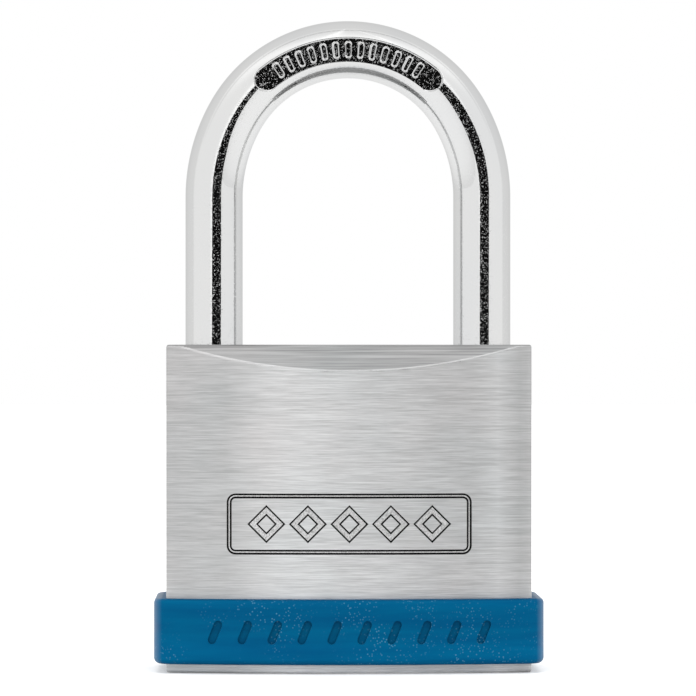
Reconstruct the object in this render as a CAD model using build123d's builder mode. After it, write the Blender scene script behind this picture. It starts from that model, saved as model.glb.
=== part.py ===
from build123d import *
import math
import os

# Padlock. Origin at the middle of the bottom face, +Z up, face to -Y, mm.

# body
body_w = 50.4          # across the face
body_h = 45.2
side_t = 17.0          # thickness at the narrow sides
bulge = 2.8            # how far each face swells at its middle
body_corner = 0.7
top_chamfer = 0.35
bevel_in = 8.75        # y where the bevel meets the top
bevel_drop = 3.6       # how far down it reaches at the middle of the face

# band
band_z, band_h = 1.25, 9.0
band_proud = 1.7       # how far it stands out of the body
band_seat = 0.6        # depth of the groove that holds it
band_corner = 3.0

# shackle
bar_r = 4.0
leg_x = 18.7
top_z = 90.4
heel_end, toe_end = 12.0, 32.0
lift = 13.5
bow_r = 18.0           # centreline radius over the top
bow_turn = 60.0        # degrees from the top where the shoulders begin
panel_r, panel_w = 17.8, 3.4     # stamped flat on the front of the bow
panel_turn = 39.7                # degrees it reaches to each side
leg_bore_r = 4.3

# locking bolts and cam
bolt_z, bolt_r, bolt_bore_r = 38.0, 3.5, 3.55
bolt_in, bolt_out = 4.1, 14.25   # ends of a bolt when drawn back
stroke = 2.0
cam_r = 3.8

# cylinder
plug_r, plug_bore_r = 6.0, 6.05
plug_z, plug_top = 1.1, 30.0
pin_r, chamber_r = 1.3, 1.6
pin_z = [7.4 + 4.5 * i for i in range(5)]
key_pin_len = [3.4, 4.1, 2.9, 3.8, 3.2]
driver_in, driver_len = 6.1, 4.4
plug_seat = 19.6       # inner end of the chamber plugs
retainer_z, retainer_x, retainer_r = 30.0, -14.85, 1.0
waist_r = 2.6

UP = (Align.CENTER, Align.CENTER, Align.MIN)

os.makedirs("parts", exist_ok=True)


def plan(z, grow, corner):
    """Outline of the body seen from above, grown by a margin, as a face at height z."""
    w, t = body_w / 2 + grow, side_t / 2 + grow
    m = t + bulge
    with BuildSketch(Plane.XY.offset(z)) as outline:
        with BuildLine():
            ThreePointArc((-w, -t), (0, -m), (w, -t))
            Line((w, -t), (w, t))
            ThreePointArc((w, t), (0, m), (-w, t))
            Line((-w, t), (-w, -t))
        make_face()
        fillet(outline.vertices(), corner)
    return outline.sketch


def save(builder, name):
    """Label a finished piece and write its file."""
    builder.part.label = name
    export_step(builder.part, "parts/" + name + ".step")
    print(name, round(builder.part.volume, 1))


# ---------------------------------------------------------------- band
with BuildPart() as band_blank:
    extrude(plan(band_z, band_proud, band_corner), amount=band_h)
    extrude(plan(band_z, -band_seat, 0.5), amount=band_h, mode=Mode.SUBTRACT)

# The front of the band carries a row of plain sunk dashes, 0.35 deep.
with BuildPart() as dash_tool:
    extrude(plan(band_z, band_proud + 2, band_corner), amount=band_h)
    extrude(plan(band_z, band_proud - 0.35, band_corner), amount=band_h, mode=Mode.SUBTRACT)
    with BuildSketch(Plane.XZ.offset(5)):
        with Locations((0, band_z + band_h / 2)):
            with GridLocations(4.1, 0, 10, 1):
                SlotOverall(3.4, 1.15, rotation=68)
    extrude(amount=12, mode=Mode.INTERSECT)

with BuildPart() as protective_band:
    add(band_blank.part)
    rims = protective_band.faces().filter_by(Axis.Z)
    outer = [f.outer_wire().edges() for f in rims]
    fillet([e for edges in outer for e in edges], 0.7)
    add(dash_tool.part, mode=Mode.SUBTRACT)
save(protective_band, "protective_band")

# ---------------------------------------------------------------- body
bevel_slope = (side_t / 2 + bulge - bevel_in) / bevel_drop


def bevel_profile(side):
    """Wedge cut off the top of one face, in the YZ plane."""
    up, down = 2.0, bevel_drop * 1.8
    y0 = bevel_in - up * bevel_slope
    y1 = bevel_in + down * bevel_slope
    points = [(y0, body_h + up), (y1, body_h - down), (20, body_h - down), (20, body_h + up)]
    return [(side * y, z) for y, z in points]


# Engraving on the face: a plain frame with a row of lozenges.
mark_z, mark_deep = 20.55, 0.3
mark_w, mark_h, mark_corner, mark_line = 33.7, 8.4, 1.2, 0.6
with BuildPart() as engraving:
    extrude(plan(15, 2, body_corner), amount=15)
    extrude(plan(15, -mark_deep, body_corner), amount=15, mode=Mode.SUBTRACT)
    with BuildSketch(Plane.XZ.offset(5)):
        with Locations((0, mark_z)):
            RectangleRounded(mark_w, mark_h, mark_corner)
            RectangleRounded(mark_w - 2 * mark_line, mark_h - 2 * mark_line, mark_corner - mark_line,
                             mode=Mode.SUBTRACT)
            with GridLocations(5.7, 0, 5, 1):
                Rectangle(3.7, 3.7, rotation=45)
                Rectangle(1.7, 1.7, rotation=45, mode=Mode.SUBTRACT)
    extrude(amount=12, mode=Mode.INTERSECT)

with BuildPart() as lock_body:
    extrude(plan(0, 0, body_corner), amount=body_h)
    chamfer(lock_body.faces().sort_by(Axis.Z)[-1].edges(), top_chamfer)
    chamfer(lock_body.faces().sort_by(Axis.Z)[0].edges(), top_chamfer)
    for side in (-1, 1):
        with BuildSketch(Plane.YZ.offset(-30)):
            Polygon(*bevel_profile(side), align=None)
        extrude(amount=60, mode=Mode.SUBTRACT)
    add(band_blank.part, mode=Mode.SUBTRACT)
    add(engraving.part, mode=Mode.SUBTRACT)
    # shackle bores, the long one with room for the spring
    with Locations((-leg_x, 0, 3.0)):
        Cylinder(leg_bore_r, body_h, align=UP, mode=Mode.SUBTRACT)
    with Locations((leg_x, 0, 31.0)):
        Cylinder(leg_bore_r, body_h, align=UP, mode=Mode.SUBTRACT)
    with Locations((-leg_x, 0, body_h - 0.4), (leg_x, 0, body_h - 0.4)):
        Cone(leg_bore_r, leg_bore_r + 0.5, 0.5, align=UP, mode=Mode.SUBTRACT)
    # cylinder bore, open below, with steps for the flange and its ring
    Cylinder(plug_bore_r, 42.0, align=UP, mode=Mode.SUBTRACT)
    Cylinder(7.3, 2.8, align=UP, mode=Mode.SUBTRACT)
    Cylinder(8.0, 1.0, align=UP, mode=Mode.SUBTRACT)
    # bolt bore, drilled from the narrow side through the short leg's bore
    with BuildSketch(Plane.YZ.offset(-leg_x)):
        with Locations((0, bolt_z)):
            Circle(bolt_bore_r)
    extrude(amount=60, mode=Mode.SUBTRACT)
    # pin chambers, drilled from the same side
    with BuildSketch(Plane.YZ.offset(4)):
        with Locations([(0, z) for z in pin_z]):
            Circle(chamber_r)
    extrude(amount=30, mode=Mode.SUBTRACT)
    # hole for the retaining pin, from the back
    with BuildSketch(Plane.XZ.offset(6)):
        with Locations((retainer_x, retainer_z)):
            Circle(retainer_r)
    extrude(amount=-30, mode=Mode.SUBTRACT)
save(lock_body, "lock_body")

# ---------------------------------------------------------------- shackle
s, c = math.sin(math.radians(bow_turn)), math.cos(math.radians(bow_turn))
shoulder_r = (leg_x - bow_r * s) / (1 - s)      # centreline radius of the shoulders
bow_z = top_z - bar_r - bow_r                   # centre of the bow
shoulder_z = bow_z + (bow_r - shoulder_r) * c   # where the legs become straight


def bow_point(degrees_from_top):
    """Point on the bow's centreline."""
    a = math.radians(degrees_from_top)
    return (bow_r * math.sin(a), 0, bow_z + bow_r * math.cos(a))


def shoulder_point(side):
    """Point half way round a shoulder."""
    a = math.radians((bow_turn + 90) / 2)
    x = leg_x - shoulder_r + shoulder_r * math.sin(a)
    return (side * x, 0, shoulder_z + shoulder_r * math.cos(a))


with BuildPart() as shackle:
    with BuildLine() as path:
        Line((-leg_x, 0, heel_end), (-leg_x, 0, shoulder_z))
        ThreePointArc((-leg_x, 0, shoulder_z), shoulder_point(-1), bow_point(-bow_turn))
        ThreePointArc(bow_point(-bow_turn), bow_point(0), bow_point(bow_turn))
        ThreePointArc(bow_point(bow_turn), shoulder_point(1), (leg_x, 0, shoulder_z))
        Line((leg_x, 0, shoulder_z), (leg_x, 0, toe_end))
    with BuildSketch(Plane((-leg_x, 0, heel_end), z_dir=(0, 0, 1))):
        Circle(bar_r)
    sweep(path=path.wires()[0])
    ends = shackle.faces().filter_by(Axis.Z)
    chamfer(ends.sort_by(Axis.Z)[0].edges(), 0.6)
    chamfer(shackle.faces().filter_by(Axis.Z).sort_by(Axis.Z)[-1].edges(), 1.0)
    # waist on the long leg, as long as the lift
    waist_top = retainer_z + retainer_r + 0.3
    waist_low = retainer_z - retainer_r - 0.3 - lift
    with Locations((-leg_x, 0, waist_low)):
        Cylinder(bar_r + 1, waist_top - waist_low, align=UP, mode=Mode.SUBTRACT)
        Cylinder(waist_r, waist_top - waist_low, align=UP)
    # notches for the bolts
    notch_x = bolt_out + stroke - bolt_r
    with BuildSketch(Plane.XZ.offset(-8)):
        with Locations((-notch_x, bolt_z), (notch_x, bolt_z)):
            Circle(bolt_r + 0.35)
    extrude(amount=16, mode=Mode.SUBTRACT)
    # flat along the front of the bow, with a row of plain raised bars
    with BuildSketch(Plane.XZ.offset(3.5)):
        SlotArc(CenterArc((0, bow_z), panel_r, 90 - panel_turn, 2 * panel_turn), panel_w)
    extrude(amount=2, mode=Mode.SUBTRACT)
    with BuildSketch(Plane.XZ.offset(3.45)):
        with Locations((0, bow_z)):
            with PolarLocations(panel_r, 13, start_angle=57, angular_range=66, endpoint=True):
                SlotOverall(2.2, 0.75)
    extrude(amount=0.25)
save(shackle, "shackle")

with BuildPart() as shackle_retaining_pin:
    with BuildSketch(Plane.XZ.offset(6)):
        with Locations((retainer_x, retainer_z)):
            Circle(retainer_r)
    extrude(amount=-16.2)
save(shackle_retaining_pin, "shackle_retaining_pin")

with BuildPart() as heel_spring_cap:
    with Locations((-leg_x, 0, heel_end - 1.2)):
        Cylinder(3.8, 1.2, align=UP)
    with Locations((-leg_x, 0, heel_end - 3.2)):
        Cylinder(2.0, 2.0, align=UP)
    chamfer(heel_spring_cap.faces().sort_by(Axis.Z)[0].edges(), 0.4)
save(heel_spring_cap, "heel_spring_cap")


def coil(radius, wire, length, turns):
    """A helical spring along +Z from the origin, both ends inside the length."""
    with BuildPart() as spring:
        with BuildLine() as line:
            Helix(pitch=(length - 2 * wire) / turns, height=length - 2 * wire, radius=radius)
        with BuildSketch(Plane(line.line @ 0, z_dir=line.line % 0)):
            Circle(wire)
        sweep(path=line.wires()[0])
    return spring.part


with BuildPart() as heel_spring:
    with Locations((-leg_x, 0, 3.05 + 0.4)):
        add(coil(3.0, 0.4, heel_end - 1.2 - 3.1, 5))
save(heel_spring, "heel_spring")

# ---------------------------------------------------------------- bolts
for name, side in (("locking_bolt_heel", -1), ("locking_bolt_toe", 1)):
    with BuildPart() as bolt:
        with BuildSketch(Plane.XZ):
            with BuildLine():
                a, b, k = bolt_in, bolt_out, bolt_r * math.sqrt(0.5)
                ThreePointArc((a, 0), (a + bolt_r - k, k), (a + bolt_r, bolt_r))
                Line((a + bolt_r, bolt_r), (b - bolt_r, bolt_r))
                ThreePointArc((b - bolt_r, bolt_r), (b - bolt_r + k, k), (b, 0))
                Line((b, 0), (a, 0))
            make_face()
        revolve(axis=Axis.X)
    with BuildPart() as placed:
        with Locations(Location((0, 0, bolt_z), (0, 0, 0 if side > 0 else 180))):
            add(bolt.part)
    save(placed, name)

with BuildPart() as cross_bore_plug:
    with BuildSketch(Plane.YZ.offset(23.05)):
        with Locations((0, bolt_z)):
            Circle(bolt_bore_r)
    extrude(amount=body_w / 2 - 23.05)
save(cross_bore_plug, "cross_bore_plug")


# ---------------------------------------------------------------- cam
def cam_point(degrees):
    """Cam outline: the radius grows evenly by the stroke over each quarter turn, then falls."""
    part = (degrees % 180) / 90
    r = cam_r + stroke * (part if part <= 1 else 2 - part)
    a = math.radians(degrees)
    return (r * math.cos(a), r * math.sin(a))


with BuildPart() as locking_cam:
    with Locations((0, 0, plug_top + 0.1)):
        Cylinder(5.7, 3.6, align=UP)
    with BuildSketch(Plane.XY.offset(plug_top + 3.7)):
        with BuildLine():
            for quarter in range(4):
                Spline([cam_point(90 * quarter + 9 * i) for i in range(11)])
        make_face()
    extrude(amount=41.7 - plug_top - 3.7)
    with Locations((0, 0, plug_top)):
        Box(3.2, 8.2, 2.4, align=UP, mode=Mode.SUBTRACT)
save(locking_cam, "locking_cam")

# ---------------------------------------------------------------- cylinder
with BuildPart() as cylinder_plug:
    with Locations((0, 0, plug_z)):
        Cylinder(plug_r, plug_top - plug_z, align=UP)
        Cylinder(7.0, 1.5, align=UP)
    with Locations((0, 0, plug_top)):
        Box(3.0, 8.0, 2.2, align=UP)
    # keyway with a ward step on each side
    with BuildSketch(Plane.XY):
        Rectangle(1.5, 8.6)
        with Locations((0.55, 2.0)):
            Rectangle(1.6, 1.5)
        with Locations((-0.55, -1.2)):
            Rectangle(1.6, 1.5)
    extrude(amount=28, mode=Mode.SUBTRACT)
    # pin chambers face the back while the plug is turned to release
    with BuildSketch(Plane.XZ.offset(-0.4)):
        with Locations([(0, z) for z in pin_z]):
            Circle(chamber_r)
    extrude(amount=-8, mode=Mode.SUBTRACT)
save(cylinder_plug, "cylinder_plug")

with BuildPart() as plug_retaining_ring:
    with Locations((0, 0, 0.15)):
        Cylinder(8.0, 0.85, align=UP)
        Cylinder(5.2, 0.85, align=UP, mode=Mode.SUBTRACT)
save(plug_retaining_ring, "plug_retaining_ring")

# ---------------------------------------------------------------- pins
with BuildPart() as pin_coil:
    with Locations(Location((driver_in + driver_len + 0.05 + 0.2, 0, 0), (0, 90, 0))):
        add(coil(0.95, 0.2, plug_seat - driver_in - driver_len - 0.1, 8))

for i, z in enumerate(pin_z):
    number = str(i + 1)
    # key pin: tip to the keyway, outer end rounded to the plug
    with BuildPart() as key_pin:
        with BuildSketch(Plane.XZ.offset(-(5.95 - key_pin_len[i]))):
            with Locations((0, z)):
                Circle(pin_r)
        extrude(amount=-(key_pin_len[i] + 1))
        chamfer(key_pin.faces().sort_by(Axis.Y)[0].edges(), 0.6)
        with Locations((0, 0, z)):
            Cylinder(5.95, 8, mode=Mode.INTERSECT)
    save(key_pin, "key_pin_" + number)

    with BuildPart() as driver_pin:
        with BuildSketch(Plane.YZ.offset(driver_in)):
            with Locations((0, z)):
                Circle(pin_r)
        extrude(amount=driver_len)
        chamfer(driver_pin.faces().filter_by(Axis.X).edges(), 0.2)
    save(driver_pin, "driver_pin_" + number)

    with BuildPart() as pin_spring:
        with Locations((0, 0, z)):
            add(pin_coil.part)
    save(pin_spring, "pin_spring_" + number)

    with BuildPart() as chamber_plug:
        with BuildSketch(Plane.YZ.offset(plug_seat)):
            with Locations((0, z)):
                Circle(chamber_r)
        reach = body_w / 2 if z > band_z + band_h else body_w / 2 - band_seat
        extrude(amount=reach - plug_seat)
    save(chamber_plug, "chamber_plug_" + number)
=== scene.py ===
"""Looks of the padlock: fine meshes for its body, band, shackle and springs, materials for every piece."""

import math

import bmesh
import bpy
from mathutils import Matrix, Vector


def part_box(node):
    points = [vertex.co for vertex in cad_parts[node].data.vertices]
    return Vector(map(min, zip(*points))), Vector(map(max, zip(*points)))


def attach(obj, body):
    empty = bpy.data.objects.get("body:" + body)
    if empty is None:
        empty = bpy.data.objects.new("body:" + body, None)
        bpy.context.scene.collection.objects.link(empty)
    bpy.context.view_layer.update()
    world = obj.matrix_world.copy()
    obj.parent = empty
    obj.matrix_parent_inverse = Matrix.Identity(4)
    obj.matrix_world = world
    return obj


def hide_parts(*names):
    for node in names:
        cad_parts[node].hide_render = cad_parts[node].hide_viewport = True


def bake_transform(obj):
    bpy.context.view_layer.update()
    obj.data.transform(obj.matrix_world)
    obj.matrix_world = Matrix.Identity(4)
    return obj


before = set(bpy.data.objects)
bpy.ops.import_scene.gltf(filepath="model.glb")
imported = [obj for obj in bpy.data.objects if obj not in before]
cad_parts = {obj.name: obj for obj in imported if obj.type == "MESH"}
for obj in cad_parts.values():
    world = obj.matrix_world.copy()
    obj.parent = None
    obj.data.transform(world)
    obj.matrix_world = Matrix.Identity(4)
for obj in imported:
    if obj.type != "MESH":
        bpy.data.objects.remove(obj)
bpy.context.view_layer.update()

MM = 0.001  # the sizes below are in millimetres


def node_box(name):
    """Lowest and highest corner of a CAD node, in millimetres."""
    low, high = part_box(name)
    return [c / MM for c in low], [c / MM for c in high]


def middle(name, axis):
    """Middle of a CAD node along an axis, in millimetres."""
    low, high = node_box(name)
    return (low[axis] + high[axis]) / 2


def half_size(name, axis):
    """Half the size of a CAD node along an axis, in millimetres."""
    low, high = node_box(name)
    return (high[axis] - low[axis]) / 2


_, body_high = node_box("lock_body")
band_low, band_high = node_box("protective_band")
bow_low, bow_high = node_box("shackle")

# ------------------------------------------------------------ sizes, from the frame where it has them
body_w = body_high[0]                    # half width
body_top = body_high[2]
face_mid = body_high[1]                  # half thickness at the middle of a face
bulge = 2.8                              # a face swells by this much towards its middle
body_corner = 0.5                        # radius of the upright edges
edge_round = 0.35                        # radius of the top and bottom edges
crease_round = 0.16                      # how softly a face turns into its bevel
bevel_in, bevel_drop = 8.75, 3.6         # a bevel's reach at the top and its height in the middle
side_reach = 5                           # points nearer to the middle plane than this are on a narrow side
bevel_slope = (face_mid - bevel_in) / bevel_drop

band_z0, band_z1 = band_low[2], band_high[2]
band_proud = band_high[0] - body_w
band_seat, seat_corner = 0.6, 0.3        # the band sits this deep in a groove
band_corner = 3.0

bar_r = bow_high[1]
leg_x = bow_high[0] - bar_r
bow_top = bow_high[2]
heel_end = bow_low[2]
toe_end = heel_end + 20.0
bow_r, bow_turn = 18.0, math.radians(60)  # the bow's middle arc, to each side of its top
bow_z = bow_top - bar_r - bow_r


# ------------------------------------------------------------ mesh helpers
def new_piece(name, verts, faces, body, replaced=None, material=None):
    """A mesh object from points in millimetres, riding on a body."""
    mesh = bpy.data.meshes.new(name)
    mesh.from_pydata([(x * MM, y * MM, z * MM) for x, y, z in verts], [], faces)
    mesh.validate()
    obj = bpy.data.objects.new(name, mesh)
    bpy.context.scene.collection.objects.link(obj)
    if body:
        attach(obj, body)
    if replaced:
        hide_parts(replaced)
    if material:
        mesh.materials.append(material)
    return obj


def smooth(obj, degrees):
    """Shade smooth, with creases kept where faces meet at more than this angle."""
    mesh = obj.data
    for polygon in mesh.polygons:
        polygon.use_smooth = True
    mesh.set_sharp_from_angle(angle=math.radians(degrees))


def fix_normals(obj):
    """Turn every face outwards."""
    work = bmesh.new()
    work.from_mesh(obj.data)
    bmesh.ops.remove_doubles(work, verts=work.verts, dist=1e-8)
    bmesh.ops.recalc_face_normals(work, faces=work.faces)
    work.to_mesh(obj.data)
    work.free()


def tube_faces(rows, columns):
    """Quads joining rows of closed loops, and the two end loops as single faces."""
    faces = []
    for i in range(rows - 1):
        for j in range(columns):
            k = (j + 1) % columns
            faces.append((i * columns + j, i * columns + k, (i + 1) * columns + k, (i + 1) * columns + j))
    faces.append(tuple(reversed(range(columns))))
    faces.append(tuple(range((rows - 1) * columns, rows * columns)))
    return faces


def cut(obj, cutters):
    """Subtract the cutter objects from obj, then delete them."""
    for cutter in cutters:
        fix_normals(cutter)
        modifier = obj.modifiers.new("cut", "BOOLEAN")
        modifier.operation, modifier.solver, modifier.object = "DIFFERENCE", "EXACT", cutter
        modifier.material_mode = "INDEX"
        bpy.context.view_layer.update()
        result = bpy.data.meshes.new_from_object(obj.evaluated_get(bpy.context.evaluated_depsgraph_get()))
        obj.modifiers.clear()
        obj.data = result
        bpy.data.objects.remove(cutter)


def lathe(profile, origin, axis="Z", steps=96):
    """A closed solid turned about an axis through origin, from (radius, along) points.
    The first and last points are on the axis."""
    verts = []
    inner = profile[1:-1]
    for r, h in inner:
        for s in range(steps):
            a = 2 * math.pi * s / steps
            u, v = r * math.cos(a), r * math.sin(a)
            p = {"Z": (u, v, h), "X": (h, u, v), "Y": (v, h, u)}[axis]
            verts.append(tuple(o + c for o, c in zip(origin, p)))
    return new_piece("cutter", verts, tube_faces(len(inner), steps), None)


def bore(start, *steps):
    """Profile of a bore, from where it starts and (radius, end) for each of its steps."""
    profile = [(0, start)]
    for radius, end in steps:
        profile += [(radius, start), (radius, end)]
        start = end
    return profile + [(0, start)]


# ------------------------------------------------------------ the body's outline
def face_y(x, grow=0.0):
    """Distance of a face from the middle plane at x, for the outline grown by a margin."""
    w, m = body_w + grow, face_mid + grow
    radius = (w * w + bulge * bulge) / (2 * bulge)
    return m - radius + math.sqrt(radius * radius - x * x)


def outline(grow, corner, face_steps=120, corner_steps=8, side_steps=6):
    """Closed loop of (x, y) points round the body, grown by a margin, with rounded corners."""
    w, m = body_w + grow, face_mid + grow
    radius = (w * w + bulge * bulge) / (2 * bulge)
    cx = w - corner
    drop = math.sqrt((radius - corner) ** 2 - cx * cx)
    cy = m - radius + drop                      # centre of the corner's circle, back right
    start = math.atan2(drop, cx)                # direction where face and corner meet
    end_x = cx + corner * math.cos(start)
    quarter = []                                # from the middle of the back to that of the right side
    for i in range(face_steps // 2):
        x = end_x * i / (face_steps // 2)
        quarter.append((x, face_y(x, grow)))
    for i in range(corner_steps + 1):
        a = start * (1 - i / corner_steps)
        quarter.append((cx + corner * math.cos(a), cy + corner * math.sin(a)))
    for i in range(1, side_steps // 2 + 1):
        quarter.append((w, cy * (1 - 2 * i / side_steps)))
    half = quarter + [(x, -y) for x, y in reversed(quarter[:-1])]
    return half + [(-x, y) for x, y in reversed(half[1:-1])]


def soft_min(a, b, k):
    """The smaller of two numbers, rounded where they cross."""
    h = max(k - abs(a - b), 0) / k
    return min(a, b) - h * h * k / 4


def body_mesh():
    """The lock body: curved faces, bevels, band groove, rounded edges."""
    rows = []                                   # loops of (x, y, z) points, from the bottom up
    edge_steps = 4
    above_crease = 0.2                          # the close rows of a crease end this far above it

    def flat(z, inset=0.0, corner=body_corner):
        rows.append([(x, y, z) for x, y in outline(-inset, corner)])

    for i in range(edge_steps + 1):             # bottom edge
        a = math.pi / 2 * i / edge_steps
        inset = edge_round * (1 - math.sin(a))
        flat(edge_round * (1 - math.cos(a)), inset, body_corner - inset * 0.6)
    flat(band_z0)
    flat(band_z0, band_seat, seat_corner)
    flat(band_z1, band_seat, seat_corner)
    flat(band_z1)
    for z in (15, 20, 25, 30, 35, 39.5):        # plain stretch above the band
        flat(z)
    base = outline(0.0, body_corner)
    top_z = body_top - edge_round

    def crease(y):
        """Height where the bevel starts in this column."""
        z = body_top - (abs(y) - bevel_in) / bevel_slope
        highest = top_z - 0.25
        return min(z, highest) if abs(y) > side_reach else highest

    def bevelled(shift, share=None):
        """A row that follows the crease at a distance, or lies at a share of the way from it to the top."""
        row = []
        for x, y in base:
            c = crease(y)
            if share is None:
                z = c + shift
            else:
                z = c + above_crease + (top_z - c - above_crease) * share
            limit = bevel_in + bevel_slope * (body_top - z)
            if abs(y) > side_reach:
                y = math.copysign(soft_min(abs(y), limit, crease_round), y)
            row.append((x, y, z))
        rows.append(row)

    for shift in (-0.9, -0.3, -0.2, -0.1, -0.05, 0.0, 0.06, 0.12, above_crease):
        bevelled(shift)
    for share in (0.35, 0.7, 1.0):
        bevelled(0, share)
    for i in range(1, edge_steps + 2):          # top edge
        a = math.pi / 2 * i / (edge_steps + 1)
        inset, z = edge_round * (1 - math.cos(a)), top_z + edge_round * math.sin(a)
        row = []
        for x, y in outline(-inset, max(body_corner - inset * 0.6, 0.1)):
            limit = bevel_in + bevel_slope * (body_top - z) - inset
            if abs(y) > side_reach:
                y = math.copysign(min(abs(y), limit), y)
            row.append((x, y, z))
        rows.append(row)
    return [p for row in rows for p in row], tube_faces(len(rows), len(base))


def ring_cutter(loops, depth, finishes):
    """Cutter for a groove with sloped walls between four loops of (x, z) points: the first and last are
    as far above the face as the two others, round its floor, are below it."""
    n = len(loops[0])
    verts, faces = [], []
    for loop, sunk in zip(loops, (-depth, depth, depth, -depth)):
        verts += [(x, -face_y(x) + sunk, z) for x, z in loop]
    for i in range(4):
        p, q = i * n, (i + 1) % 4 * n
        for j in range(n):
            k = (j + 1) % n
            faces.append((p + j, p + k, q + k, q + j))
    made = new_piece("cutter", verts, faces, None)
    for mat in finishes:
        made.data.materials.append(mat)
    for polygon in made.data.polygons:
        # the walls of a groove get the near-black painted shade
        polygon.material_index = FLOOR if polygon.index // n == 1 else WALL
    return made


def rounded_box(width, height, corner, cx, cz, along=24, up=6, round_steps=6):
    """Loop of (x, z) points of a rounded rectangle, with points along its straight runs too."""
    arcs = []
    for quarter, (sx, sz) in enumerate(((1, 1), (-1, 1), (-1, -1), (1, -1))):
        turns = [math.pi / 2 * (quarter + i / round_steps) for i in range(round_steps + 1)]
        arcs.append([(cx + sx * (width / 2 - corner) + corner * math.cos(a),
                      cz + sz * (height / 2 - corner) + corner * math.sin(a)) for a in turns])
    points = []
    for arc, following, count in zip(arcs, arcs[1:] + arcs[:1], (along, up, along, up)):
        (x0, z0), (x1, z1) = arc[-1], following[0]
        points += arc + [(x0 + (x1 - x0) * i / count, z0 + (z1 - z0) * i / count) for i in range(1, count)]
    return points


def lozenge(size, cx, cz, per_side=6):
    """Loop of (x, z) points of a square standing on its corner."""
    h = size / math.sqrt(2)
    corners = [(h, 0), (0, h), (-h, 0), (0, -h)]
    points = []
    for i in range(4):
        (x0, z0), (x1, z1) = corners[i], corners[(i + 1) % 4]
        for s in range(per_side):
            points.append((cx + x0 + (x1 - x0) * s / per_side, cz + z0 + (z1 - z0) * s / per_side))
    return points


def pill(length, width, tilt, cx, cz, steps=8):
    """Loop of (x, z) points of a tilted dash with round ends."""
    points = []
    for end, start in ((1, -90), (-1, 90)):
        for i in range(steps + 1):
            a = math.radians(start + 180 * i / steps)
            points.append((end * (length - width) / 2 + width / 2 * math.cos(a), width / 2 * math.sin(a)))
    c, s = math.cos(tilt), math.sin(tilt)
    return [(cx + x * c - z * s, cz + x * s + z * c) for x, z in points]


# ------------------------------------------------------------ materials
def material(name, **sockets):
    """A new Principled material and its node tree, with plain values set on the shader's own sockets."""
    mat = bpy.data.materials.new(name)
    mat.use_nodes = True
    tree = mat.node_tree
    shader = tree.nodes["Principled BSDF"]
    for key, value in sockets.items():
        shader.inputs[key.replace("_", " ")].default_value = value
    return mat, tree, shader


def node(tree, kind, links=None, **values):
    """A node with some properties and input values set, and some inputs linked."""
    made = tree.nodes.new("ShaderNode" + kind)
    for key, value in values.items():
        if key.startswith("in_"):
            made.inputs[key[3:].replace("_", " ")].default_value = value
        else:
            setattr(made, key, value)
    for socket, source in (links or {}).items():
        tree.links.new(source, made.inputs[socket])
    return made


def place(tree, scale):
    """Object position, stretched by a factor for each axis."""
    where = node(tree, "TexCoord")
    return node(tree, "Mapping", {"Vector": where.outputs["Object"]}, in_Scale=scale).outputs["Vector"]


def ramp(tree, source, stops):
    """Colour ramp from (position, colour) pairs."""
    made = node(tree, "ValToRGB", {"Fac": source})
    elements = made.color_ramp.elements
    while len(elements) < len(stops):
        elements.new(0.5)
    for element, (position, colour) in zip(elements, stops):
        element.position = position
        element.color = (*colour, 1)
    return made.outputs["Color"]


def grey(level):
    return (level, level, level)


def across(tree, axis, stops):
    """Grey that changes along one axis of the object, from (millimetres, level) pairs."""
    low, high = stops[0][0], stops[-1][0]
    where = node(tree, "SeparateXYZ", {"Vector": node(tree, "TexCoord").outputs["Object"]})
    share = node(tree, "MapRange", {"Value": where.outputs[axis]}, in_From_Min=low * MM,
                 in_From_Max=high * MM)
    stops = [((at - low) / (high - low), grey(level)) for at, level in stops]
    return ramp(tree, share.outputs["Result"], stops)


def multiply(tree, a, b):
    """Product of two colours."""
    made = node(tree, "Mix", data_type="RGBA", blend_type="MULTIPLY", in_Factor=1.0)
    tree.links.new(a, made.inputs[6])
    tree.links.new(b, made.inputs[7])
    return made.outputs[2]


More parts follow.
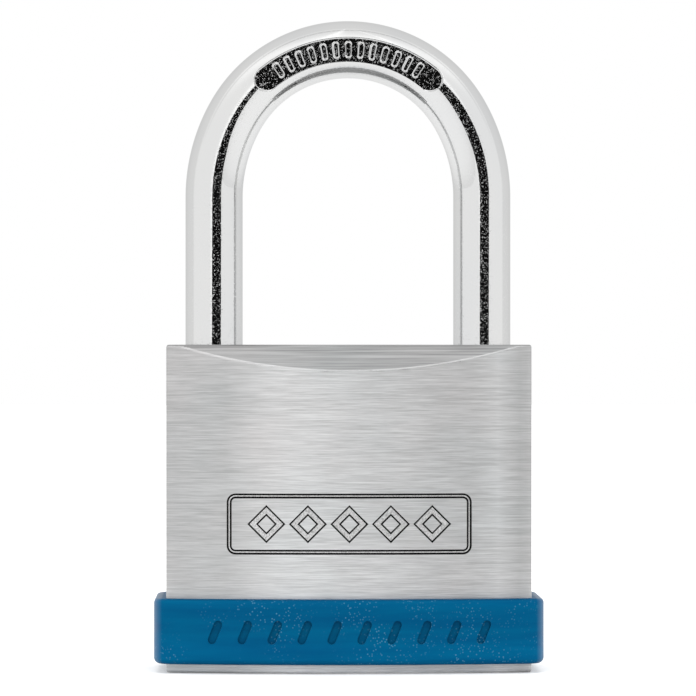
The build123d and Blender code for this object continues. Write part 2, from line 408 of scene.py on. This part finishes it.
def brushed(name, tone, rough=0.34, grain=(210, 60, 6600), streak=0.19,
            painted_light_x=((-25, 1), (25, 1)), painted_light_z=((0, 1), (45, 1))):
    """Horizontally brushed metal: its grain is noise with so many cells to the metre along X, Y and Z.
    Its tone is multiplied along X by fade and along Z by rise: painted light and shade."""
    mat, tree, shader = material(name, Metallic=1.0, Anisotropic=0.95, Anisotropic_Rotation=0.25)
    streaks = node(tree, "TexNoise", {"Vector": place(tree, grain)}, in_Scale=1.0, in_Detail=3.0,
                   in_Roughness=0.65)
    broad = node(tree, "TexNoise", {"Vector": place(tree, (18, 40, 900))}, in_Scale=1.0, in_Detail=2.0)
    cloud = node(tree, "TexNoise", {"Vector": place(tree, (60, 60, 60))}, in_Scale=1.0, in_Detail=3.0)
    mix = node(tree, "Mix", {"A": streaks.outputs["Fac"], "B": broad.outputs["Fac"]}, data_type="FLOAT",
               in_Factor=0.15)
    dark, light = tone * (1 - streak), min(tone * (1 + streak), 1)
    tint = ramp(tree, mix.outputs["Result"], [(0.34, grey(dark)), (0.5, grey(tone)), (0.66, grey(light))])
    shade = ramp(tree, cloud.outputs["Fac"], [(0.3, (0.955, 0.975, 0.98)), (0.7, (1.0, 0.985, 0.985))])
    # painted light and shade, along X and along Z
    change = multiply(tree, across(tree, "X", painted_light_x), across(tree, "Z", painted_light_z))
    tree.links.new(multiply(tree, multiply(tree, tint, shade), change), shader.inputs["Base Color"])
    roughness = node(tree, "MapRange", {"Value": streaks.outputs["Fac"]}, in_To_Min=rough - 0.07,
                     in_To_Max=rough + 0.09)
    tree.links.new(roughness.outputs["Result"], shader.inputs["Roughness"])
    relief = node(tree, "Bump", {"Height": streaks.outputs["Fac"]}, in_Strength=0.22, in_Distance=0.00003)
    tree.links.new(relief.outputs["Normal"], shader.inputs["Normal"])
    tangent = node(tree, "Tangent", direction_type="RADIAL", axis="Z")
    tree.links.new(tangent.outputs["Tangent"], shader.inputs["Tangent"])
    return mat


def turned(name, colour, rough=0.28):
    """Small turned or ground metal parts."""
    mat, tree, shader = material(name, Metallic=1.0)
    grain = node(tree, "TexNoise", {"Vector": place(tree, (2500, 2500, 500))}, in_Scale=1.0, in_Detail=3.0)
    tint = ramp(tree, grain.outputs["Fac"], [(0.3, [c * 0.82 for c in colour]), (0.7, list(colour))])
    tree.links.new(tint, shader.inputs["Base Color"])
    roughness = node(tree, "MapRange", {"Value": grain.outputs["Fac"]}, in_To_Min=rough - 0.08,
                     in_To_Max=rough + 0.1)
    tree.links.new(roughness.outputs["Result"], shader.inputs["Roughness"])
    relief = node(tree, "Bump", {"Height": grain.outputs["Fac"]}, in_Strength=0.15, in_Distance=0.00002)
    tree.links.new(relief.outputs["Normal"], shader.inputs["Normal"])
    return mat


def chrome(name):
    """Polished plate with sparse fine pits."""
    mat, tree, shader = material(name, Metallic=1.0, Specular_Tint=(0.8, 0.8, 0.8, 1))
    grain = node(tree, "TexNoise", {"Vector": place(tree, (5600, 5600, 5600))}, in_Scale=1.0, in_Detail=2.0,
                 in_Roughness=0.6)
    pits = ramp(tree, grain.outputs["Fac"], [(0.60, grey(0)), (0.74, grey(1))])
    haze = node(tree, "TexNoise", {"Vector": place(tree, (90, 90, 40))}, in_Scale=1.0, in_Detail=3.0)
    tint = ramp(tree, haze.outputs["Fac"], [(0.3, (0.640, 0.647, 0.652)), (0.7, (0.676, 0.676, 0.670))])
    tree.links.new(tint, shader.inputs["Base Color"])
    roughness = node(tree, "MapRange", {"Value": haze.outputs["Fac"]}, in_To_Min=0.008, in_To_Max=0.025)
    tree.links.new(roughness.outputs["Result"], shader.inputs["Roughness"])
    relief = node(tree, "Bump", {"Height": pits}, in_Strength=0.6, in_Distance=0.00001)
    tree.links.new(relief.outputs["Normal"], shader.inputs["Normal"])
    return mat


def stamped(name, low, high, rough):
    """Stamped, unpolished metal with a fine pitted texture."""
    mat, tree, shader = material(name, Metallic=1.0)
    pits = node(tree, "TexNoise", {"Vector": place(tree, (5200, 5200, 5200))}, in_Scale=1.0, in_Detail=3.0)
    tint = ramp(tree, pits.outputs["Fac"], [(0.35, grey(low)), (0.6, grey(high))])
    tree.links.new(tint, shader.inputs["Base Color"])
    roughness = node(tree, "MapRange", {"Value": pits.outputs["Fac"]}, in_To_Min=rough - 0.06,
                     in_To_Max=rough + 0.1)
    tree.links.new(roughness.outputs["Result"], shader.inputs["Roughness"])
    relief = node(tree, "Bump", {"Height": pits.outputs["Fac"]}, in_Strength=0.4, in_Distance=0.00003)
    tree.links.new(relief.outputs["Normal"], shader.inputs["Normal"])
    return mat


def blue_rubber(name, tone):
    """Satin moulded rubber with faint flow lines and specks, glossier on its narrow sides.
    Its colour is multiplied by tone, and by painted light and shade that changes with height."""
    mat, tree, shader = material(name)
    gloss = across(tree, "X", [(-26.6, 0.5), (-25.8, 0.02), (25.8, 0.02), (26.6, 0.5)])
    tree.links.new(gloss, shader.inputs["Specular IOR Level"])
    flow = node(tree, "TexNoise", {"Vector": place(tree, (60, 200, 700))}, in_Scale=1.0, in_Detail=3.0)
    specks = node(tree, "TexVoronoi", {"Vector": place(tree, (2300, 2300, 2300))}, in_Scale=1.0)
    grain = node(tree, "TexNoise", {"Vector": place(tree, (4200, 4200, 4200))}, in_Scale=1.0, in_Detail=2.0)
    base = ramp(tree, flow.outputs["Fac"], [(0.3, (0.0, 0.106, 0.260)), (0.7, (0.0, 0.140, 0.305))])
    dots = ramp(tree, specks.outputs["Distance"], [(0.14, grey(1)), (0.32, grey(0))])
    thin = node(tree, "TexNoise", {"Vector": place(tree, (160, 160, 160))}, in_Scale=1.0)
    where = ramp(tree, thin.outputs["Fac"], [(0.44, grey(0)), (0.64, grey(0.6))])
    both = node(tree, "Math", {0: dots, 1: where}, operation="MULTIPLY")
    colour = node(tree, "Mix", data_type="RGBA")
    tree.links.new(both.outputs[0], colour.inputs[0])
    tree.links.new(base, colour.inputs[6])
    colour.inputs[7].default_value = (0.12, 0.35, 0.52, 1)
    # painted light and shade over the band's height: darker at its bottom and top edges, lighter just above
    # the bottom and just below the top
    painted_light_levels = [(1.3, 0.66), (2.0, 0.90), (3.4, 0.90), (5.5, 0.80), (8.8, 0.80), (9.6, 0.86), (10.0, 0.84),
              (10.25, 0.6)]
    shade = across(tree, "Z", [(z, level * tone) for z, level in painted_light_levels])
    tree.links.new(multiply(tree, colour.outputs[2], shade), shader.inputs["Base Color"])
    roughness = node(tree, "MapRange", {"Value": flow.outputs["Fac"]}, in_To_Min=0.30, in_To_Max=0.46)
    tree.links.new(roughness.outputs["Result"], shader.inputs["Roughness"])
    relief = node(tree, "Bump", {"Height": grain.outputs["Fac"]}, in_Strength=0.12, in_Distance=0.00004)
    tree.links.new(relief.outputs["Normal"], shader.inputs["Normal"])
    return mat


# the body's metal, with painted light and shade: painted lighter in the middle of its faces and darker
# towards their sides, and painted lighter beside the band
painted_face_light = [(-25, 0.74), (-17, 0.74), (-10, 0.91), (-5, 1.0), (3, 1.0), (17, 0.875), (20.5, 0.95),
             (23.5, 0.71)]
# painted light beside the band and on the strip of metal below it
painted_light_by_band = [(0, 1.29), (1.3, 1.29), (10.2, 1.27), (10.8, 1.15), (12, 1.07), (15, 1.05), (18, 1.0),
             (45, 1.0)]
body_metal = brushed("body_metal", 0.65, painted_light_x=painted_face_light, painted_light_z=painted_light_by_band)
# darker copies of the body's metal for its top and its bevels: painted shade
painted_shade_top_metal = brushed("body_top_painted_shade", 0.40, grain=(60, 3000, 3000), streak=0.32)
painted_shade_bevel_metal = brushed("body_bevel_painted_shade", 0.56, rough=0.28)
# near-black walls in the engraved grooves: painted shade
groove_wall_painted_shade = stamped("groove_wall_painted_shade", 0.004, 0.03, 0.6)
groove_floor = stamped("groove_floor", 0.40, 0.72, 0.42)
body_finishes = [body_metal, groove_wall_painted_shade, groove_floor, painted_shade_top_metal, painted_shade_bevel_metal]
WALL, FLOOR, TOP, EDGE = 1, 2, 3, 4
shackle_chrome = chrome("shackle_chrome")
band_rubber = blue_rubber("band_rubber", 0.9)
# a darker copy of the band's rubber for the sunk dashes: painted shade
dash_rubber_painted_shade = blue_rubber("dash_rubber_painted_shade", 0.70)
brass = turned("brass", (0.78, 0.58, 0.27))
steel = turned("steel", (0.60, 0.60, 0.61), 0.25)
spring_wire = turned("spring_wire", (0.50, 0.50, 0.52), 0.3)
bolt_steel = turned("bolt_steel", (0.55, 0.55, 0.57), 0.2)
cam_steel = turned("cam_steel", (0.50, 0.49, 0.47), 0.4)
ring_steel = turned("ring_steel", (0.62, 0.62, 0.62), 0.3)
plug_metal = brushed("plug_metal", 0.52)

# ------------------------------------------------------------ lock body
verts, faces = body_mesh()
body = new_piece("lock_body_shell", verts, faces, "body", "lock_body")
fix_normals(body)
cross_z, cross_r = middle("cross_bore_plug", 2), half_size("cross_bore_plug", 2)
chamber_r = half_size("chamber_plug_2", 1)
leg_bore_r = bar_r + 0.3
outside = 2                                     # cutters of the bores end this far outside the body


def leg_bore(x, end_z):
    """Cutter for the bore of one leg of the shackle, with a countersunk mouth."""
    mouth_r, above = leg_bore_r + 0.5, body_top + outside
    return lathe([(0, end_z), (leg_bore_r, end_z), (leg_bore_r, body_top - 0.4), (mouth_r, body_top + 0.1),
                  (mouth_r, above), (0, above)], (x, 0, 0))


retainer_x, retainer_z = middle("shackle_retaining_pin", 0), middle("shackle_retaining_pin", 2)
retainer_y = node_box("shackle_retaining_pin")[0][1]
heel_bore_end, toe_bore_end = 3.0, 31.0
cutters = [
    leg_bore(-leg_x, heel_bore_end),
    leg_bore(leg_x, toe_bore_end),
    lathe(bore(-outside, (8.0, 1.0), (7.3, 2.8), (6.05, 42)), (0, 0, 0)),  # ring, flange, plug
    lathe(bore(13, (cross_r, body_w + outside)), (0, 0, cross_z), "X"),
    lathe(bore(retainer_y, (1, face_mid + outside)), (retainer_x, 0, retainer_z), "Y", 48),
]
for i in range(1, 6):
    cutters.append(lathe(bore(5.5, (chamber_r, body_w + outside)), (0, 0, middle(f"chamber_plug_{i}", 2)),
                         "X", 48))
emblem_z, emblem_deep = 20.55, 0.3
emblem_w, emblem_h, emblem_corner = 33.7, 8.4, 1.2
lozenge_size, lozenge_pitch = 3.7, 5.7


def frame_loop(inset):
    """Outline of the engraved frame, moved inwards."""
    return rounded_box(emblem_w - 2 * inset, emblem_h - 2 * inset, emblem_corner - inset, 0, emblem_z)


def engraved(loop, groove, slope):
    """Groove cutter, from its outline, its width and the width of half a sloped wall."""
    return ring_cutter([loop(inset) for inset in (-slope, slope, groove - slope, groove + slope)],
                       emblem_deep, body_finishes)


cutters.append(engraved(frame_loop, 0.68, 0.26))
for i in range(5):
    x = lozenge_pitch * (i - 2)
    cutters.append(engraved(lambda inset: lozenge(lozenge_size - 2 * inset, x, emblem_z), 1.05, 0.22))
for mat in body_finishes:
    body.data.materials.append(mat)
cut(body, cutters)
for polygon in body.data.polygons:              # the top and the bevels get darker copies of the body's metal: painted shade
    if polygon.material_index == 0 and polygon.center.z > (body_top - 5) * MM and polygon.normal.z > 0.1:
        polygon.material_index = TOP if polygon.normal.z > 0.5 else EDGE
smooth(body, 35)


# ------------------------------------------------------------ band
def band_mesh():
    """The band: a rounded outside, and an inside that fills the body's groove."""
    rows = []
    edge_steps = 6
    low_round, top_round = 0.85, 0.6            # radii of its lower and upper edge

    def loop(grow, corner, z):
        rows.append([(x, y, z) for x, y in outline(grow, corner)])

    loop(-band_seat, seat_corner, band_z0)
    for i in range(edge_steps + 1):
        a = math.pi / 2 * i / edge_steps
        inset = low_round * (1 - math.sin(a))
        loop(band_proud - inset, band_corner - inset, band_z0 + low_round * (1 - math.cos(a)))
    for z in (4, 6, 8):
        loop(band_proud, band_corner, z)
    for i in range(edge_steps + 1):
        a = math.pi / 2 * i / edge_steps
        inset = top_round * (1 - math.cos(a))
        loop(band_proud - inset, band_corner - inset, band_z1 - top_round + top_round * math.sin(a))
    loop(-band_seat, seat_corner, band_z1)
    rows.append(rows[0])
    return [p for row in rows for p in row], tube_faces(len(rows), len(rows[0]))[:-2]


verts, faces = band_mesh()
band = new_piece("band_shell", verts, faces, "body", "protective_band")
fix_normals(band)
dash_z = (band_z0 + band_z1) / 2
dash_long, dash_wide, dash_deep, dash_tilt, dash_pitch = 3.4, 1.15, 0.35, math.radians(68), 4.1


def dash_cutter(x):
    """Cutter for one sunk dash, its floor following the band."""
    loop = pill(dash_long, dash_wide, dash_tilt, x, dash_z)
    n = len(loop)
    verts = [(px, -face_mid - 5, pz) for px, pz in loop]
    verts += [(px, -face_y(px, band_proud) + dash_deep, pz) for px, pz in loop]
    faces = [tuple(range(n)), tuple(reversed(range(n, 2 * n)))]
    faces += [(j, (j + 1) % n, n + (j + 1) % n, n + j) for j in range(n)]
    made = new_piece("cutter", verts, faces, None)
    made.data.materials.append(band_rubber)
    made.data.materials.append(dash_rubber_painted_shade)
    # the sunk dashes take the darker rubber: painted shade
    for polygon in made.data.polygons:
        polygon.material_index = 1
    return made


band.data.materials.append(band_rubber)
band.data.materials.append(dash_rubber_painted_shade)
cut(band, [dash_cutter(dash_pitch * (i - 4.5)) for i in range(10)])
smooth(band, 40)


# ------------------------------------------------------------ shackle
shoulder_r = (leg_x - bow_r * math.sin(bow_turn)) / (1 - math.sin(bow_turn))
shoulder_z = bow_z + (bow_r - shoulder_r) * math.cos(bow_turn)
# stamped flat: its middle line's radius and half turn, half width, distance from the bar's middle
panel_r, panel_half, panel_wide, panel_floor = 17.8, math.radians(39.7), 1.7, 3.5
panel_front = 2.4                               # it changes the bar this far to each side of its front
mark_long, mark_wide, mark_high = 2.2, 0.75, 0.2  # its raised bars
mark_count, mark_pitch = 13, math.radians(5.5)


def centreline():
    """(point, outward direction, turn from the top) along the bar, from the heel's end to the toe's."""
    def steps(start, end, size):
        n = max(1, round(abs(end - start) / size))
        return [start + (end - start) * i / n for i in range(n)]

    def shoulder(start, end, centre_x):
        """The bend between a leg and the bow."""
        return [((centre_x + shoulder_r * math.sin(a), shoulder_z + shoulder_r * math.cos(a)),
                 (math.sin(a), math.cos(a)), None) for a in steps(start, end, 0.5 / shoulder_r)]

    line = [((-leg_x, z), (-1, 0), None) for z in steps(heel_end, shoulder_z, 0.8)]
    line += shoulder(-math.pi / 2, -bow_turn, shoulder_r - leg_x)
    fine = panel_half + panel_wide / bow_r + math.radians(2)
    coarse_step, fine_step = 0.5 / bow_r, 0.07 / bow_r
    for a in (steps(-bow_turn, -fine, coarse_step) + steps(-fine, fine, fine_step)
              + steps(fine, bow_turn, coarse_step)):
        line.append(((bow_r * math.sin(a), bow_z + bow_r * math.cos(a)), (math.sin(a), math.cos(a)), a))
    line += shoulder(bow_turn, math.pi / 2, leg_x - shoulder_r)
    line += [((leg_x, z), (1, 0), None) for z in steps(shoulder_z, toe_end, 0.8) + [toe_end]]
    return line


def around():
    """Angles round the bar from its front, close together where the stamped flat is."""
    front = 2.25 / bar_r
    fine, coarse = 66, 64
    return ([-front + 2 * front * i / fine for i in range(fine)]
            + [front + (2 * math.pi - 2 * front) * i / coarse for i in range(coarse)])


def ease(t):
    """A smooth step from 0 to 1."""
    t = min(max(t, 0), 1)
    return t * t * (3 - 2 * t)


def panel_depth(turn, offset, surface):
    """Forward reach of the bar's front at a place on the bow: the stamped flat and its raised bars."""
    beside = bow_r + offset - panel_r
    along = max(abs(turn) - panel_half, 0) * panel_r
    edge = 0.12                                 # width of the soft rims
    inside = ease((panel_wide - math.hypot(along, beside)) / edge + 0.5)
    floor = panel_floor
    nearest = round(turn / mark_pitch) * mark_pitch
    if abs(nearest) < mark_pitch * mark_count / 2:
        dx = (turn - nearest) * panel_r
        dz = max(abs(beside) - (mark_long - mark_wide) / 2, 0)
        floor += mark_high * ease((mark_wide / 2 - math.hypot(dx, dz)) / edge + 0.5)
    return surface + (min(floor, surface) - surface) * inside


def shackle_mesh():
    """The bent bar, with the stamped flat at the front of its bow."""
    line, angles = centreline(), around()
    verts = []
    for (x, z), (ox, oz), turn in line:
        for a in angles:
            offset, forward = bar_r * math.sin(a), bar_r * math.cos(a)
            if turn is not None and forward > 0 and abs(offset) < panel_front:
                forward = panel_depth(turn, offset, forward)
            verts.append((x + ox * offset, -forward, z + oz * offset))
    return verts, tube_faces(len(line), len(angles))


verts, faces = shackle_mesh()
shackle = new_piece("shackle_bar", verts, faces, "shackle", "shackle")
fix_normals(shackle)
notch_x, notch_r = 12.75, 3.85                  # the bolts' notches: round, their axes along Y
waist_r, waist_low, waist_high = 2.6, 15.2, 31.3


def waist_cutter():
    """A short thick tube round the long leg, which leaves its waist."""
    steps, outer_r = 72, 6
    verts, faces = [], []
    for r, z in ((waist_r, waist_low), (waist_r, waist_high), (outer_r, waist_high), (outer_r, waist_low)):
        for s in range(steps):
            a = 2 * math.pi * s / steps
            verts.append((-leg_x + r * math.cos(a), r * math.sin(a), z))
    for i in range(4):
        p, q = i * steps, ((i + 1) % 4) * steps
        for s in range(steps):
            t = (s + 1) % steps
            faces.append((p + s, p + t, q + t, q + s))
    return new_piece("cutter", verts, faces, None)


cut(shackle, [waist_cutter()] + [lathe(bore(-8, (notch_r, 8)), (side * notch_x, 0, cross_z), "Y")
                                 for side in (-1, 1)])
shackle.data.materials.clear()
shackle.data.materials.append(shackle_chrome)
smooth(shackle, 50)


# ------------------------------------------------------------ springs
def spring(name, axis, wire, turns, fixed_high):
    """A coil in the box of its CAD node, wound along axis; wire is its radius."""
    low, high = node_box(name)
    radius = (high[1] - low[1]) / 2 - wire
    centre = [(a + b) / 2 for a, b in zip(low, high)]
    first, last = low[axis] + wire, high[axis] - wire
    others = [k for k in range(3) if k != axis]
    per_turn, round_wire = 24, 8
    count = turns * per_turn + 1
    verts = []
    for i in range(count):
        a = 2 * math.pi * i / per_turn
        for j in range(round_wire):
            b = 2 * math.pi * j / round_wire
            out = radius + wire * math.cos(b)
            point = list(centre)
            point[others[0]] += out * math.cos(a)
            point[others[1]] += out * math.sin(a)
            point[axis] = first + (last - first) * i / (count - 1) + wire * math.sin(b)
            verts.append(tuple(point))
    made = new_piece(name + "_coil", verts, tube_faces(count, round_wire), None, name,
                     spring_wire)
    fix_normals(made)
    smooth(made, 60)
    fixed, moving = [c * MM for c in centre], [c * MM for c in centre]
    fixed[axis], moving[axis] = low[axis] * MM, high[axis] * MM
    if fixed_high:
        fixed, moving = moving, fixed
    tuple(fixed)
    tuple(moving)
    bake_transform(made)


spring("heel_spring", 2, 0.4, 5, False)
for i in range(1, 6):
    spring(f"pin_spring_{i}", 0, 0.2, 8, True)

# ------------------------------------------------------------ the CAD pieces that stay
finishes = {"cylinder_plug": brass, "plug_retaining_ring": ring_steel, "cross_bore_plug": plug_metal,
            "shackle_retaining_pin": steel, "heel_spring_cap": steel,
            "locking_bolt_heel": bolt_steel, "locking_bolt_toe": bolt_steel, "locking_cam": cam_steel}
for i in range(1, 6):
    finishes[f"key_pin_{i}"] = finishes[f"driver_pin_{i}"] = brass
    finishes[f"chamber_plug_{i}"] = plug_metal
for name, mat in finishes.items():
    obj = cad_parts[name]
    if obj.material_slots:
        for slot in obj.material_slots:
            slot.material = mat
    else:
        obj.data.materials.append(mat)

# ------------------------------------------------------------ floor, light, camera
floor_mat, floor_tree, floor_shader = material("floor", Roughness=0.9)
floor_shader.inputs["Base Color"].default_value = (0.86, 0.86, 0.86, 1)
floor_shader.inputs["Specular IOR Level"].default_value = 0.1
floor_shader.inputs["Emission Color"].default_value = (1, 1, 1, 1)
seen = node(floor_tree, "LightPath").outputs["Is Camera Ray"]
glow = node(floor_tree, "MapRange", {"Value": seen}, in_To_Min=0.06, in_To_Max=0.28)
floor_tree.links.new(glow.outputs["Result"], floor_shader.inputs["Emission Strength"])
floor_half, floor_z = 3000.0, -0.02             # just under the padlock, so that no two faces share a place
corners = [(x * floor_half, y * floor_half, floor_z) for x, y in ((-1, -1), (1, -1), (1, 1), (-1, 1))]
floor = new_piece("floor", corners, [(0, 1, 2, 3)], None, material=floor_mat)


def build_world():
    """A white tent with softboxes. The camera itself sees plain white."""
    world = bpy.data.worlds.new("tent")
    world.use_nodes = True
    bpy.context.scene.world = world
    tree = world.node_tree
    tree.nodes.clear()
    where = node(tree, "TexCoord")
    split = node(tree, "SeparateXYZ", {"Vector": where.outputs["Generated"]})
    x, y, z = (split.outputs[i] for i in range(3))

    def maths(operation, *values):
        made = node(tree, "Math", operation=operation)
        for socket, value in zip(made.inputs, values):
            if isinstance(value, (int, float)):
                socket.default_value = value
            else:
                tree.links.new(value, socket)
        return made.outputs[0]

    azimuth = maths("ARCTAN2", x, maths("MULTIPLY", y, -1))
    flat = maths("SQRT", maths("ADD", maths("MULTIPLY", x, x), maths("MULTIPLY", y, y)))
    height = maths("ARCTAN2", z, flat)

    def bump(value, centre, width, size):
        """A smooth bell of a given size."""
        d = maths("DIVIDE", maths("SUBTRACT", value, centre), width)
        return maths("MULTIPLY", maths("EXPONENT", maths("MULTIPLY", maths("MULTIPLY", d, d), -1)), size)

    def box(angle, centre, width, size):
        """A softbox: a bell whose place and width are in degrees."""
        return bump(angle, math.radians(centre), math.radians(width), size)

    # brighter in the front half, with softboxes to each side of the dark card, above it and overhead
    front = node(tree, "MapRange", {"Value": y}, in_From_Min=0.06, in_From_Max=-0.06).outputs["Result"]
    boxes = maths("ADD", box(azimuth, -8, 5, 0.34), box(azimuth, 24, 2.5, 0.28))
    boxes = maths("ADD", boxes, box(height, 50, 12, 0.24))
    boxes = maths("ADD", boxes, maths("MULTIPLY", box(azimuth, 9, 12, 0.9), box(height, 30, 9, 1.0)))
    wall = maths("ADD", maths("MULTIPLY", front, maths("ADD", boxes, 0.16)), 0.98)
    high = node(tree, "MapRange", {"Value": z}, in_From_Min=0.3, in_From_Max=0.8).outputs["Result"]
    wall = maths("SUBTRACT", wall, maths("MULTIPLY", bump(y, -0.14, 0.06, 0.35), high))
    seen = node(tree, "LightPath").outputs["Is Camera Ray"]
    strength = maths("ADD", maths("MULTIPLY", wall, maths("SUBTRACT", 1, seen)), seen)
    sky = node(tree, "Background", {"Strength": strength})
    sky.inputs["Color"].default_value = (1, 1, 1, 1)
    node(tree, "OutputWorld", {"Surface": sky.outputs[0]})


build_world()


def dark_card(azimuth, away, height, long, short, tilt):
    """Oval black card before the padlock: only reflections show it, as the dark stripe along the bar."""
    c, s = math.cos(tilt), math.sin(tilt)
    steps = 72
    points = []
    for i in range(steps):
        a = 2 * math.pi * i / steps
        p, q = long * math.cos(a), short * math.sin(a)
        side, up = p * c - q * s, p * s + q * c
        points.append((away * math.sin(azimuth) + side * math.cos(azimuth),
                       -away * math.cos(azimuth) + side * math.sin(azimuth), height + up))
    black, _, shader = material("card_black", Roughness=1.0)
    shader.inputs["Base Color"].default_value = (0.006, 0.006, 0.006, 1)
    shader.inputs["Specular IOR Level"].default_value = 0.0
    card = new_piece("dark_card", points, [tuple(range(steps))], None, material=black)
    card.visible_camera = card.visible_diffuse = card.visible_shadow = False


dark_card(math.radians(8.7), 800.0, 55.0, 320.0, 215.0, math.radians(38))


def softbox(name, at, aim, size, power):
    """A large soft area light."""
    light = bpy.data.lights.new(name, "AREA")
    light.shape, light.size, light.energy = "SQUARE", size, power
    obj = bpy.data.objects.new(name, light)
    bpy.context.scene.collection.objects.link(obj)
    obj.location = at
    obj.rotation_euler = (Vector(aim) - Vector(at)).to_track_quat("-Z", "Y").to_euler()
    return obj


overhead = softbox("overhead", (0, 0.05, 0.9), (0, 0, 0), 1.0, 3.0)
overhead.visible_glossy = False

camera_data = bpy.data.cameras.new("camera")
camera = bpy.data.objects.new("camera", camera_data)
bpy.context.scene.collection.objects.link(camera)
camera_data.sensor_width = 36.0
camera_data.lens = 240.7
camera_data.clip_start, camera_data.clip_end = 0.01, 20
reach, turn = 0.650, math.radians(-1.0)
camera_z = 0.04474
camera.location = (reach * math.sin(turn), -reach * math.cos(turn), camera_z)
target = Vector((0, 0, camera_z))
camera.rotation_euler = (target - camera.location).to_track_quat("-Z", "Y").to_euler()
bpy.context.scene.camera = camera

bpy.context.scene.view_settings.view_transform = "Standard"
bpy.context.scene.view_settings.look = "None"
